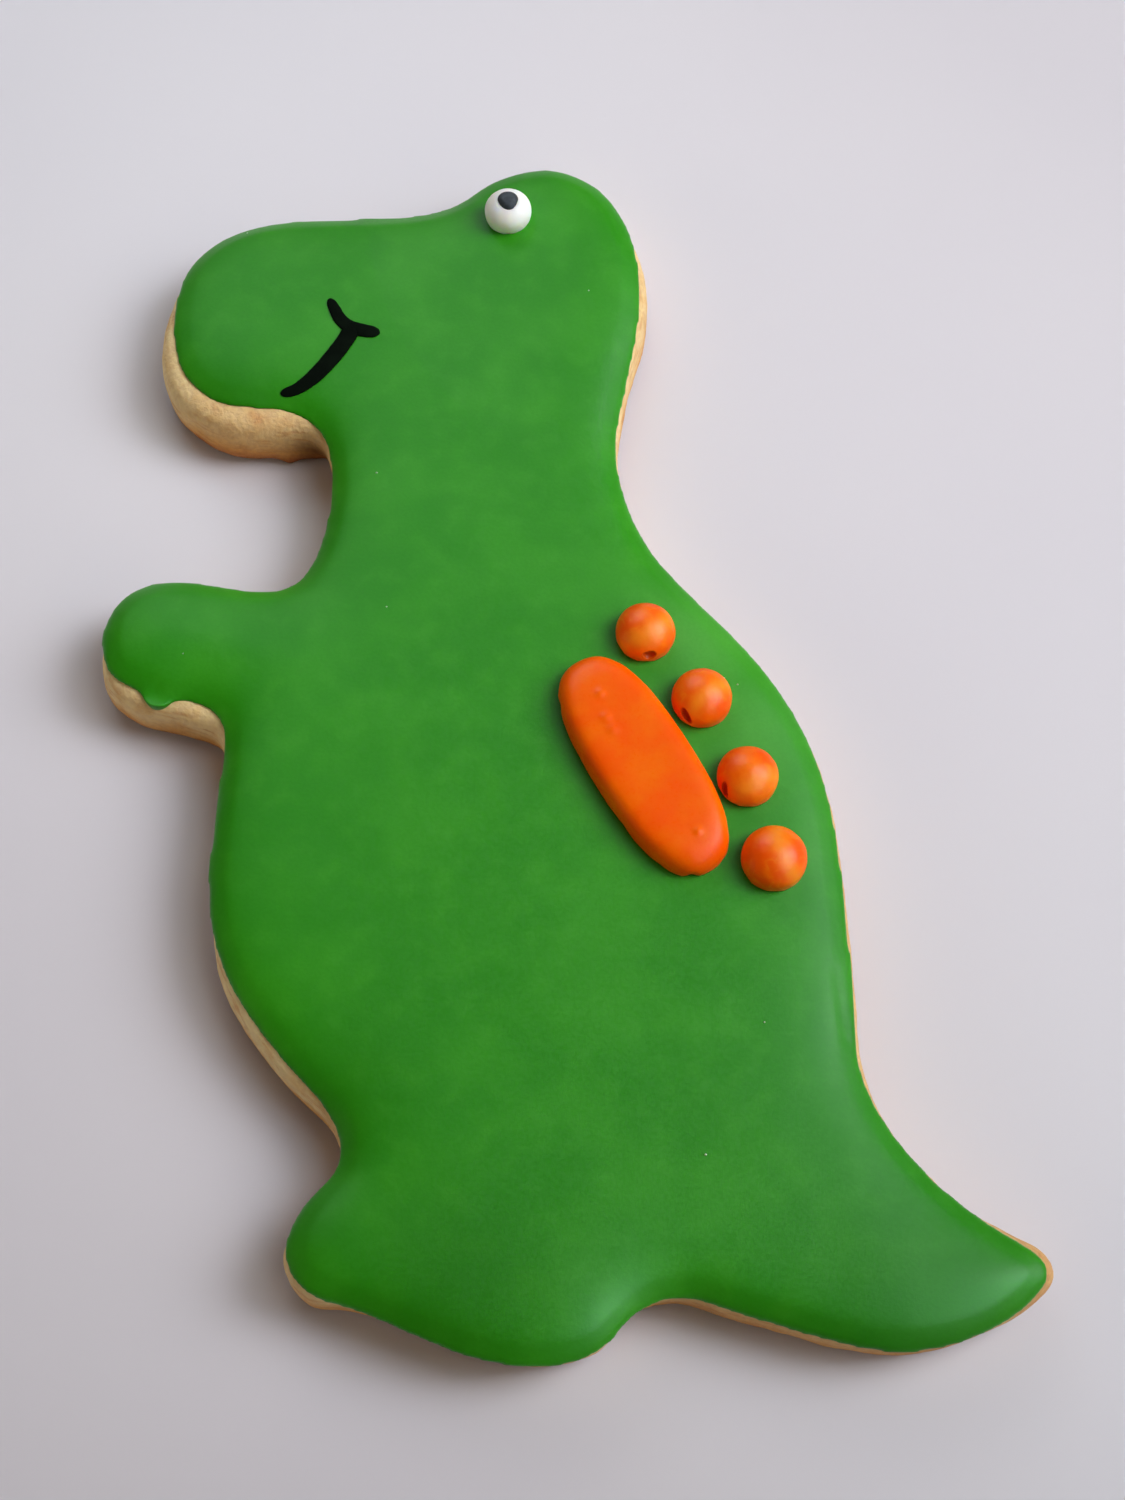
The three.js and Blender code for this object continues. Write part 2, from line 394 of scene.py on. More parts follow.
@dataclass(frozen=True)
class Finish:
    """What a surface is made of. A subclass draws its pattern in colour, roughness and relief."""

    name: str
    roughness: float
    ior: float = 1.45
    gloss: float = 0.35
    subsurface: float = 0.0
    subsurface_mm: float = 0.5

    def build(self) -> bpy.types.Material:
        """Makes the material.

        Returns:
            A material with one Principled shader, fed by the subclass's pattern.
        """
        material = bpy.data.materials.new(self.name)
        material.use_nodes = True
        tree = material.node_tree
        tree.nodes.clear()
        shader = add_node(tree, "BsdfPrincipled", {
            "Roughness": self.roughness,
            "IOR": self.ior,
            "Specular IOR Level": self.gloss,
            "Subsurface Weight": self.subsurface,
            "Subsurface Scale": self.subsurface_mm * MM,
            "Subsurface Radius": (1.0, 0.7, 0.45),
        })
        output = add_node(tree, "OutputMaterial", {"Surface": shader.outputs["BSDF"]})
        output.is_active_output = True
        place = add_node(tree, "TexCoord").outputs["Object"]
        self.pattern(tree, shader, place)
        return material

    def pattern(self, tree: bpy.types.NodeTree, shader: bpy.types.Node, place: bpy.types.NodeSocket) -> None:
        """Feeds the shader.

        Args:
            tree: the material's node tree.
            shader: its Principled shader.
            place: the point on the object, in metres.
        """
        raise NotImplementedError

    @staticmethod
    def blotches(tree: bpy.types.NodeTree, place: bpy.types.NodeSocket, size_mm: float,
                 low: float, high: float, detail: float = 2.0, twist: float = 0.0) -> bpy.types.NodeSocket:
        """Draws soft blotches of one size.

        Args:
            tree: the material's node tree.
            place: the point on the object, in metres.
            size_mm: the size of one blotch, in millimetres.
            low: the noise value that gives 0.
            high: the noise value that gives 1.
            detail: how many finer layers the noise has.
            twist: how far the noise is pulled into swirls.

        Returns:
            A share from 0 to 1.
        """
        noise = add_node(tree, "TexNoise", {
            "Vector": place, "Scale": 1 / (size_mm * MM), "Detail": detail, "Distortion": twist,
        })
        return add_node(tree, "MapRange", {
            "Value": noise.outputs["Fac"], "From Min": low, "From Max": high,
        }, interpolation_type="SMOOTHSTEP").outputs["Result"]

    @staticmethod
    def mixed(tree: bpy.types.NodeTree, share: bpy.types.NodeSocket | float, first: object, second: object,
              blend: str = "MIX") -> bpy.types.NodeSocket:
        """Mixes two colours.

        Args:
            tree: the material's node tree.
            share: how much of the second colour there is.
            first: the colour or output at a share of 0.
            second: the colour or output at a share of 1.
            blend: the way that they mix.

        Returns:
            The mixed colour.
        """
        mix = add_node(tree, "Mix", {0: share, 6: first, 7: second}, data_type="RGBA", blend_type=blend)
        return mix.outputs[2]

    @staticmethod
    def scaled(tree: bpy.types.NodeTree, value: bpy.types.NodeSocket,
               low: float, high: float) -> bpy.types.NodeSocket:
        """Stretches a share of 0 to 1 over another range, and returns it."""
        return add_node(tree, "MapRange", {"Value": value, "To Min": low, "To Max": high}).outputs["Result"]


@dataclass(frozen=True)
class RoyalIcing(Finish):
    """Royal icing, coloured with a colour paste and dried. It is opaque and satin: the sugar leaves an
    even, very fine grain, and the paste stays a little uneven, so that paler clouds show in the colour."""

    deep: str = "#2E8B22"
    pale: str = "#3FA034"
    cloud_mm: float = 8.0
    streak_mm: float = 2.0
    streak: str = "#3FA034"
    streak_share: float = 0.2
    twist: float = 0.0
    grain_mm: float = 0.3
    relief_mm: float = 0.005

    def own_colour(self, tree: bpy.types.NodeTree, base: bpy.types.NodeSocket) -> bpy.types.NodeSocket:
        """Lets a subclass change the colour before the sugar's grain goes over it.

        Args:
            tree: the material's node tree.
            base: the colour so far.

        Returns:
            The colour to use.
        """
        return base

    def pattern(self, tree: bpy.types.NodeTree, shader: bpy.types.Node, place: bpy.types.NodeSocket) -> None:
        """Draws clouds of paler colour, finer streaks and the sugar's grain.

        Args:
            tree: the material's node tree.
            shader: its Principled shader.
            place: the point on the object, in metres.
        """
        clouds = self.blotches(tree, place, self.cloud_mm, 0.35, 0.7)
        streaks = self.blotches(tree, place, self.streak_mm, 0.45, 0.8, 3.0, self.twist)
        grain = self.blotches(tree, place, self.grain_mm, 0.3, 0.7)
        base = self.mixed(tree, clouds, srgb(self.deep), srgb(self.pale))
        share = self.scaled(tree, streaks, 0, self.streak_share)
        streaked = self.mixed(tree, share, base, srgb(self.streak))
        streaked = self.own_colour(tree, streaked)
        dusty = self.mixed(tree, self.scaled(tree, grain, 0, 0.08), streaked, srgb("#FFFFFF"), "SOFT_LIGHT")
        tree.links.new(dusty, shader.inputs["Base Color"])
        roughness = self.scaled(tree, grain, self.roughness - 0.03, self.roughness + 0.05)
        tree.links.new(roughness, shader.inputs["Roughness"])
        relief = add_node(tree, "Bump", {
            "Height": grain, "Strength": 0.5, "Distance": self.relief_mm * MM,
        })
        tree.links.new(relief.outputs["Normal"], shader.inputs["Normal"])


@dataclass(frozen=True)
class SwirledIcing(RoyalIcing):
    """Icing with pale bands and painted shade laid over it. On the dots the pale bands are partly
    streaks of hardly stirred icing and partly painted highlight; on the flooded green they are a painted
    sheen. The painted shade darkens the hollows of burst bubbles and the green's lower and left slopes,
    which face away from the light."""

    # The pale bands' colour: partly streaks, partly painted highlight on the dots and a painted sheen on the
    # green.
    band: str = "#FF9A24"
    band_share: float = 0.6
    # The colour of the painted shade.
    painted_shade_colour: str = "#BC4604"

    def own_colour(self, tree: bpy.types.NodeTree, base: bpy.types.NodeSocket) -> bpy.types.NodeSocket:
        """Lays the pale bands, with their painted highlight and sheen, and the painted shade over the colour,
        from the piece's own shape.

        Args:
            tree: the material's node tree.
            base: the colour so far.

        Returns:
            The colour to use.
        """
        # Pale bands: streaks of paler icing with painted highlight on the dots, a painted sheen on the green.
        pale = add_node(tree, "Attribute", attribute_name="pale").outputs["Fac"]
        banded = self.mixed(tree, self.scaled(tree, pale, 0, self.band_share), base, srgb(self.band))
        # Painted shade: a darker colour mixed in where the attribute says.
        painted_shade_share = add_node(tree, "Attribute", attribute_name="painted_shade_share").outputs["Fac"]
        return self.mixed(tree, self.scaled(tree, painted_shade_share, 0, 0.8), banded, srgb(self.painted_shade_colour))


@dataclass(frozen=True)
class BakedDough(Finish):
    """Baked sugar-cookie dough. Its sides are pale and sandy, and go golden to dark brown towards
    the base, where it lay on the hot sheet; its underside is evenly browned with a darker rim."""

    pale: str = "#EED8A4"
    golden: str = "#D9A25C"
    brown: str = "#AC6230"
    edge: str = "#642E14"
    streak: str = "#B9713A"
    toasted: str = "#BF8446"
    # Painted shade for the nook under the jaw.
    nook_shade_colour: str = "#5E3C08"
    crumb_mm: float = 0.45
    mottle_mm: float = 1.6
    drag_mm: float = 3.0
    brown_to_golden: tuple[float, float] = (0.6, 1.9)
    golden_to_pale: tuple[float, float] = (1.4, 4.6)
    scorch_to: tuple[float, float] = (0.6, 1.4)

    def pattern(self, tree: bpy.types.NodeTree, shader: bpy.types.Node, place: bpy.types.NodeSocket) -> None:
        """Draws the browning by height, its uneven edge, the crumb, and painted shade in the nook under the
        jaw.

        Args:
            tree: the material's node tree.
            shader: its Principled shader.
            place: the point on the object, in metres.
        """
        height = add_node(tree, "SeparateXYZ", {"Vector": place}).outputs["Z"]
        uneven = self.blotches(tree, place, 5.0, 0.25, 0.75, 4.0)
        drift = self.scaled(tree, uneven, -0.9 * MM, 0.9 * MM)
        level = add_node(tree, "Math", {0: height, 1: drift}, operation="ADD").outputs[0]

        def above(low: float, high: float) -> bpy.types.NodeSocket:
            """Returns 0 below one height, 1 above another, both in millimetres."""
            return add_node(tree, "MapRange", {
                "Value": level, "From Min": low * MM, "From Max": high * MM,
            }, interpolation_type="SMOOTHSTEP").outputs["Result"]

        lower = self.mixed(tree, above(*self.brown_to_golden), srgb(self.brown), srgb(self.golden))
        body = self.mixed(tree, above(*self.golden_to_pale), lower, srgb(self.pale))
        inside = add_node(tree, "Attribute", attribute_name="inside_mm").outputs["Fac"]
        margin = add_node(tree, "MapRange", {
            "Value": inside, "From Min": 0.3, "From Max": 4.5, "To Min": 0.8, "To Max": 0.0,
        }).outputs["Result"]
        low_down = add_node(tree, "MapRange", {
            "Value": height, "From Min": self.scorch_to[0] * MM, "From Max": self.scorch_to[1] * MM,
            "To Min": 1.0, "To Max": 0.0,
        }).outputs["Result"]
        scorched = add_node(tree, "Math", {0: margin, 1: low_down}, operation="MULTIPLY").outputs[0]
        browned = self.mixed(tree, scorched, body, srgb(self.edge))
        crumb = self.blotches(tree, place, self.crumb_mm, 0.3, 0.7, 3.0)
        mottle = self.blotches(tree, place, self.mottle_mm, 0.4, 0.75, 3.0)
        toast = add_node(tree, "Attribute", attribute_name="toast").outputs["Fac"]
        browned = self.mixed(tree, toast, browned, srgb(self.toasted))
        toasted = self.mixed(tree, self.scaled(tree, mottle, 0, 0.3), browned, srgb(self.golden), "MULTIPLY")
        # The cutter drags the dough sideways: streaks 3 mm long and 0.5 mm high.
        flat = add_node(tree, "Mapping", {"Vector": place, "Scale": (1.0, 1.0, 6.0)}).outputs["Vector"]
        drag = self.blotches(tree, flat, self.drag_mm, 0.52, 0.72, 3.0)
        toasted = self.mixed(tree, self.scaled(tree, drag, 0, 0.45), toasted, srgb(self.streak))
        # Painted shade in the nook where the jaw's wall turns in to the neck.
        nook_shade = add_node(tree, "Attribute", attribute_name="nook_shade").outputs["Fac"]
        toasted = self.mixed(tree, self.scaled(tree, nook_shade, 0, 0.95), toasted, srgb(self.nook_shade_colour))
        sandy = self.mixed(tree, self.scaled(tree, crumb, 0, 0.35), toasted, srgb("#FFF0CC"), "SOFT_LIGHT")
        tree.links.new(sandy, shader.inputs["Base Color"])
        relief = add_node(tree, "Bump", {"Height": crumb, "Strength": 0.7, "Distance": 0.06 * MM})
        tree.links.new(relief.outputs["Normal"], shader.inputs["Normal"])


@dataclass(frozen=True)
class GlazedTable(Finish):
    """A pale glazed surface under the cookie: even, with the faintest waver in its gloss. Beyond
    the soft boxes' pool of light it glows a little, so that it stays pale up to the horizon."""

    colour: str = "#DBDAE6"
    far_colour: str = "#E4E1E6"
    far_glow: float = 0.75
    glow_between: tuple[float, float] = (0.09, 0.25)

    def pattern(self, tree: bpy.types.NodeTree, shader: bpy.types.Node, place: bpy.types.NodeSocket) -> None:
        """Draws a barely uneven tone, and the glow far from the cookie.

        Args:
            tree: the material's node tree.
            shader: its Principled shader.
            place: the point on the object, in metres.
        """
        far = add_node(tree, "VectorMath", {0: place}, operation="LENGTH").outputs["Value"]
        glow = add_node(tree, "MapRange", {
            "Value": far, "From Min": self.glow_between[0], "From Max": self.glow_between[1],
            "To Max": self.far_glow,
        }, interpolation_type="SMOOTHSTEP").outputs["Result"]
        tree.links.new(glow, shader.inputs["Emission Strength"])
        shader.inputs["Emission Color"].default_value = srgb(self.far_colour)
        waver = self.blotches(tree, place, 60.0, 0.3, 0.7)
        tone = self.mixed(tree, self.scaled(tree, waver, 0, 0.06), srgb(self.colour), srgb("#FFFFFF"))
        tree.links.new(tone, shader.inputs["Base Color"])


class IcingColour(Enum):
    """The icings of this cookie, one for each bag of icing.

    The flooded green is satin and a little cloudy, with a painted sheen on its right side and
    painted shade on its lower and left slopes. The oval's orange is even and soft. The dots' orange is
    streaked, partly with painted highlight, has painted shade in its burst bubbles, and is glossier.
    White is slightly translucent, slate and black are dull, and the grains are the icing's own sugar,
    dried to pale crystals."""

    # The green's band colour is a painted sheen, and its darkest colour painted shade.
    GREEN = SwirledIcing(
        "royal_icing_green_flooded", roughness=0.34, gloss=0.36, subsurface=0.1,
        deep="#278A05", pale="#30930C", streak="#40A01E", streak_share=0.25, band="#5CB545", band_share=0.45,
        painted_shade_colour="#1B7000",
    )
    ORANGE = RoyalIcing(
        "royal_icing_orange_piped", roughness=0.3, subsurface=0.2, gloss=0.1,
        deep="#FF5A00", pale="#FF6B00", streak="#FF7C05", streak_share=0.3, cloud_mm=5.0, grain_mm=0.25,
    )
    ORANGE_SWIRLED = SwirledIcing(
        "royal_icing_orange_swirled", roughness=0.32, subsurface=0.15, gloss=0.18,
        deep="#FA5600", pale="#FF7000", streak="#FF9018", streak_share=0.45, cloud_mm=2.6, streak_mm=1.4,
        twist=1.5, grain_mm=0.2,
    )
    WHITE = RoyalIcing(
        "royal_icing_white_dome", roughness=0.45, subsurface=0.6, subsurface_mm=1.2,
        deep="#EEF2FA", pale="#F4F7FE", streak="#EAE8E8", cloud_mm=2.0, grain_mm=0.2, relief_mm=0.003,
    )
    SLATE = RoyalIcing(
        "royal_icing_slate_dot", roughness=0.6,
        deep="#2A2F36", pale="#3A4048", streak="#474C54", cloud_mm=0.8, streak_mm=0.5, grain_mm=0.12,
    )
    GRAIN = RoyalIcing(
        "sugar_grain_dried", roughness=0.3, subsurface=0.3,
        deep="#A9CFA0", pale="#C4DDBD", streak="#DCE8D8", cloud_mm=0.2, streak_mm=0.2, grain_mm=0.1,
    )
    BLACK = RoyalIcing(
        "royal_icing_black_line", roughness=0.9, gloss=0.04,
        deep="#040A03", pale="#071006", streak="#0C160A", cloud_mm=2.0, streak_mm=0.8, grain_mm=0.15,
    )


# ------------------------------------------------------------------- sub-assemblies


@dataclass(frozen=True)
class Patch:
    """A soft round patch that looks different: its middle, radius and share. Millimetres."""

    at: tuple[float, float]
    radius: float
    share: float

    def over(self, points: np.ndarray) -> np.ndarray:
        """Gives the patch's share at each point, seen from above.

        Args:
            points: the vertices, in metres.

        Returns:
            The share at the middle, falling to 0 outside.
        """
        apart = np.linalg.norm(points[:, :2] / MM - np.array(self.at), axis=1)
        return self.share * np.exp(-((apart / self.radius) ** 2))


@dataclass
class Cookie:
    """The baked dough: cut sides that swell a little, a sandy crumb and a browned base.

    Baking rounds the cut edge, so that the top falls away in a soft shoulder. Where the wall turns
    in from the jaw to the neck, its foot is tucked in and has a small lump, and painted shade
    darkens the nook there."""

    grid: float = 0.42 * MM
    waist: float = 1.6 * MM
    shoulder_foot: float = 2.6 * MM
    shoulder_width: float = 2.0 * MM
    shoulder_drop: float = 1.5 * MM
    swell_size: float = 7 * MM
    swell: float = 0.35 * MM
    crumb_size: float = 1.1 * MM
    crumb: float = 0.12 * MM
    lump_at: Point = (-25.4, 27.95, 0.8)
    lump_size: Point = (2.4, 1.5, 1.7)
    # Painted shade darkens the dough around this point, in the nook under the jaw.
    nook_shade_at: Point = (-22.5, 27.8, 2.6)
    nook_shade_radius: float = 2.3
    toasted: tuple[Patch, ...] = (Patch((-36.0, -3.0), 9.0, 0.28), Patch((40.0, -51.0), 9.0, 0.75),
                                  Patch((-17.0, -45.0), 7.0, 0.75), Patch((-28.0, 28.0), 10.0, 0.45))
    toasted_side: float = 0.55
    toasted_from: tuple[float, float] = (0, 14 * MM)
    toasted_above: tuple[float, float] = (0.2 * MM, 1.4 * MM)
    tuck_at: Point = (-21.0, 26.4, 0.0)
    tuck_radius: float = 1.9
    tuck: float = 1.5 * MM

    def fall(self, inside: np.ndarray) -> np.ndarray:
        """Gives how far the top has fallen at the shoulder.

        Args:
            inside: how far inside the cut outline each point lies, in metres.

        Returns:
            How far the top lies below the middle's height, in metres.
        """
        share = 1 - np.clip(inside, 0, self.shoulder_width) / self.shoulder_width
        return self.shoulder_drop * (1 - np.sqrt(1 - share**2))

    def toast(self, points: np.ndarray) -> np.ndarray:
        """Gives how far each point is toasted: thin limbs, and the side nearer the oven's heat.

        Args:
            points: the cookie's vertices.

        Returns:
            A share from 0 to 1 for each vertex.
        """
        toast = self.toasted_side * smoothstep(points[:, 0], *self.toasted_from)
        toast = np.maximum.reduce([toast, *(patch.over(points) for patch in self.toasted)])
        return toast * smoothstep(points[:, 2], *self.toasted_above)

    def build(self) -> np.ndarray:
        """Models the cookie from its solid.

        Returns:
            The segments of its cut outline.
        """
        piece = copy_of("cookie", "baked_cookie")
        outline = rim_segments(piece, self.waist)
        self.shape(piece, outline)
        points = points_of(piece)
        store(piece, "inside_mm", distance_to(outline, points) / MM)
        apart = np.linalg.norm(points / MM - np.array(self.nook_shade_at), axis=1)
        store(piece, "nook_shade", np.exp(-((apart / self.nook_shade_radius) ** 2)))
        store(piece, "toast", self.toast(points))
        dough = BakedDough("sugar_cookie_dough_baked", roughness=0.8, subsurface=0.1)
        hand_over(piece, dough.build(), "baked_dough", "cookie")
        return outline

    def shape(self, piece: bpy.types.Object, outline: np.ndarray) -> None:
        """Bakes the cut dough: a lump at its foot, a soft shoulder, a swell, crumbs and a flat base.

        Args:
            piece: the merged copy of the solid.
            outline: the segments of the cut outline.
        """
        lump = egg(Vector(self.lump_at) * MM, Vector(self.lump_size) * MM, Quaternion())
        cut_or_join(piece, lump, "UNION")
        finish_with(piece, "REMESH", mode="VOXEL", voxel_size=self.grid)
        points = points_of(piece)
        share = np.clip((points[:, 2] - self.shoulder_foot) / (COOKIE_TOP - self.shoulder_foot), 0, 1)
        points[:, 2] -= share * self.fall(distance_to(outline, points))
        move_points(piece, points)
        finish_with(piece, "SMOOTH", factor=0.5, iterations=6)
        roughen(piece, "CLOUDS", self.swell_size, self.swell)
        roughen(piece, "CLOUDS", self.crumb_size, self.crumb)
        points = points_of(piece)
        points[:, 2] = np.maximum(points[:, 2], 0)
        apart = np.linalg.norm((points / MM - np.array(self.tuck_at)) * (1, 1, 0.45), axis=1)
        points[:, 1] += self.tuck * np.exp(-((apart / self.tuck_radius) ** 2))
        move_points(piece, points)


@dataclass
class FloodedIcing:
    """The green icing: a poured skin that crowns softly, thins towards its rim, and sags where the
    cookie's shoulder falls away under it. It has run over the edge in one drip, under the arm. Its
    colour carries a painted sheen on the right side and painted shade on the lower and left slopes."""

    grid: float = 0.35 * MM
    rim_height: float = 6.55 * MM
    rim_reach: float = 0.7 * MM
    rim_smoothing: int = 45
    top_smoothing: int = 30
    top_from: tuple[float, float] = (6.6 * MM, 7.5 * MM)
    base_from: tuple[float, float] = (6.1 * MM, 6.4 * MM)
    lost_width: float = 0.62 * MM
    shift: float = 0.12 * MM
    rim_top: float = 6.17 * MM
    shoulder: float = 1.05 * MM
    shoulder_reach: float = 1.45 * MM
    crown: float = 0.35 * MM
    crown_reach: float = 5.5 * MM
    most_sag: float = 0.75 * MM
    sag_reach: float = 0.8 * MM
    sink: float = 0.3 * MM
    drip_at: Point = (-35.15, -0.05, 6.3)
    drip_size: Point = (2.3, 2.6, 3.1)
    drip_angle: float = -30.0
    crease: tuple[tuple[float, float], ...] = ((24.2, -25.9), (24.5, -28.6), (24.9, -31.9))
    crease_depth: float = 0.09 * MM
    crease_width: float = 0.45 * MM
    swell_size: float = 11 * MM
    swell: float = 0.12 * MM
    # Painted sheen: paler patches on the right side, between the dots and the back's edge, where the slopes
    # catch the light.
    paler: tuple[Patch, ...] = (Patch((13.5, 5.5), 5.5, 1.0), Patch((18.5, -3.5), 5.0, 0.8))
    # Painted shade: darker patches on the lower and left slopes, which face away from the light.
    painted_shade_patches: tuple[Patch, ...] = (
        Patch((-7.8, -53.0), 8.0, 0.75), Patch((29.0, -57.0), 9.0, 0.8), Patch((-30.4, 30.0), 5.0, 0.7),
        Patch((-17.0, -36.0), 6.0, 0.5), Patch((-19.0, -48.0), 5.0, 0.45),
    )

    def top(self, inside: np.ndarray) -> np.ndarray:
        """Gives the height of the icing's top, which is steep at the rim and then crowns softly.

        Args:
            inside: the distance from the rim of each point, in metres.

        Returns:
            The height of the top there, in metres.
        """
        shoulder = self.shoulder * (1 - np.exp(-inside / self.shoulder_reach))
        return self.rim_top + shoulder + self.crown * (1 - np.exp(-((inside / self.crown_reach) ** 2)))

    def build(self, cut_outline: np.ndarray) -> bpy.types.Object:
        """Models the icing from its solid.

        Args:
            cut_outline: the segments of the cut outline of the dough underneath.

        Returns:
            The finished piece.
        """
        piece = copy_of("icing_green", "green_icing")
        rim = rim_segments(piece, self.rim_height)
        self.round_rim(piece, rim)
        self.pour(piece, rim, cut_outline)
        points = points_of(piece)
        # The paler patches are painted sheen, and the darker ones painted shade.
        store(piece, "pale", np.maximum.reduce([patch.over(points) for patch in self.paler]))
        store(piece, "painted_shade_share", np.maximum.reduce([patch.over(points) for patch in self.painted_shade_patches]))
        hand_over(piece, IcingColour.GREEN.value.build(), "green_icing", "icing_green")
        return piece

    def round_rim(self, piece: bpy.types.Object, rim: np.ndarray) -> None:
        """Adds the drip, rounds the skin, and gives its rim an even line from above.

        Args:
            piece: the merged copy of the solid.
            rim: the segments of the rim.
        """
        turn = Quaternion((0, 0, 1), math.radians(self.drip_angle))
        cut_or_join(piece, egg(Vector(self.drip_at) * MM, Vector(self.drip_size) * MM, turn), "UNION")
        finish_with(piece, "REMESH", mode="VOXEL", voxel_size=self.grid)
        finish_with(piece, "SMOOTH", factor=0.5, iterations=6)
        weigh(piece, "near_rim", np.exp(-distance_to(rim, points_of(piece)) / self.rim_reach))
        finish_with(piece, "DISPLACE", strength=self.lost_width, mid_level=0.0, vertex_group="near_rim")
        evenly = {"factor": 0.5, "use_z": False}
        finish_with(piece, "SMOOTH", iterations=self.rim_smoothing, vertex_group="near_rim", **evenly)

    def pour(self, piece: bpy.types.Object, rim: np.ndarray, cut_outline: np.ndarray) -> None:
        """Lets the skin crown, sag over the dough's shoulder and bond to it, and draws the crease.

        Args:
            piece: the rounded skin.
            rim: the segments of its rim.
            cut_outline: the segments of the cut outline of the dough underneath.
        """
        upright = {"factor": 0.5, "use_x": False, "use_y": False}
        points = points_of(piece)
        upper = smoothstep(points[:, 2], *self.top_from)
        lower = 1 - smoothstep(points[:, 2], *self.base_from)
        above = np.maximum(points[:, 2] - COOKIE_TOP, 0)
        thickness = np.maximum(heights_of(piece, points, ICING_TOP) - COOKIE_TOP, 0.1 * MM)
        wanted = self.top(distance_to(rim, points)) - COOKIE_TOP
        points[:, 2] += above * (wanted / thickness - 1)
        points[:, 1] += self.shift
        outward = np.maximum(distance_to(cut_outline, points), distance_to(rim, points))
        points[:, 2] -= self.most_sag * np.exp(-outward / self.sag_reach)
        points[:, 2] -= self.sink * lower
        move_points(piece, points)
        finish_with(piece, "SMOOTH", iterations=8, vertex_group="near_rim", **upright)
        weigh(piece, "upper", upper)
        finish_with(piece, "SMOOTH", iterations=self.top_smoothing, vertex_group="upper", **upright)
        points = points_of(piece)
        line = np.array(list(zip(self.crease, self.crease[1:], strict=False))) * MM
        crease = np.exp(-((distance_to(line, points) / self.crease_width) ** 2))
        points[:, 2] -= upper * self.crease_depth * crease
        move_points(piece, points)
        roughen(piece, "CLOUDS", self.swell_size, self.swell, direction="Z", vertex_group="upper")


@dataclass
class Crater:
    """A burst air bubble in a piped dot: a hollow wider inside than its mouth, darkened with painted shade.
    Millimetres.
    """

    mouth: Point
    length: float
    width: float
    depth: float
    angle: float

    def dig(self, piece: bpy.types.Object, foot: Vector) -> np.ndarray:
        """Cuts the crater.

        Args:
            piece: the dot.
            foot: the middle of the dot's underside.

        Returns:
            A share for each vertex of the cut dot, 1 in the crater and 0 away from it, which becomes painted
            shade.
        """
        tree = BVHTree.FromObject(piece, bpy.context.evaluated_depsgraph_get())
        mouth, normal = tree.find_nearest(foot + Vector(self.mouth) * MM)[:2]
        turn = normal.to_track_quat("Z", "Y") @ Quaternion((0, 0, 1), math.radians(self.angle))
        middle = mouth - normal * 0.22 * self.depth * MM
        size = Vector((self.length, self.width, self.depth)) * MM
        cut_or_join(piece, egg(middle, size, turn), "DIFFERENCE")
        finish_with(piece, "REMESH", mode="VOXEL", voxel_size=0.08 * MM)
        finish_with(piece, "SMOOTH", factor=0.5, iterations=2)
        local = (points_of(piece) - np.array(middle)) @ np.array(turn.to_matrix())
        return 1 - smoothstep(np.linalg.norm(local / (np.array(size) / 2), axis=1), 0.95, 1.3)


@dataclass
class Bump:
    """A low rise on a spot, given as x and y on the cookie. Millimetres."""

    at: tuple[float, float]
    radius: float
    height: float


@dataclass
class Swirl:
    """A pale band across a dot, partly a streak that the piping bag left and partly painted highlight.
    Millimetres from the dot's middle.
    """

    at: tuple[float, float]
    angle: float
    width: float
    bend: float = 0.0

    def share(self, points: np.ndarray, middle: Vector) -> np.ndarray:
        """Gives how pale each point is.

        Args:
            points: the dot's vertices.
            middle: the dot's middle.

        Returns:
            The share of the pale band at each vertex, from 0 to 1.
        """
        along = np.array((math.cos(math.radians(self.angle)), math.sin(math.radians(self.angle))))
        offset = (points[:, :2] - np.array(middle.xy)) / MM - np.array(self.at)
        across = offset @ np.array((-along[1], along[0])) - self.bend * (offset @ along) ** 2
        return np.exp(-((across / self.width) ** 2))


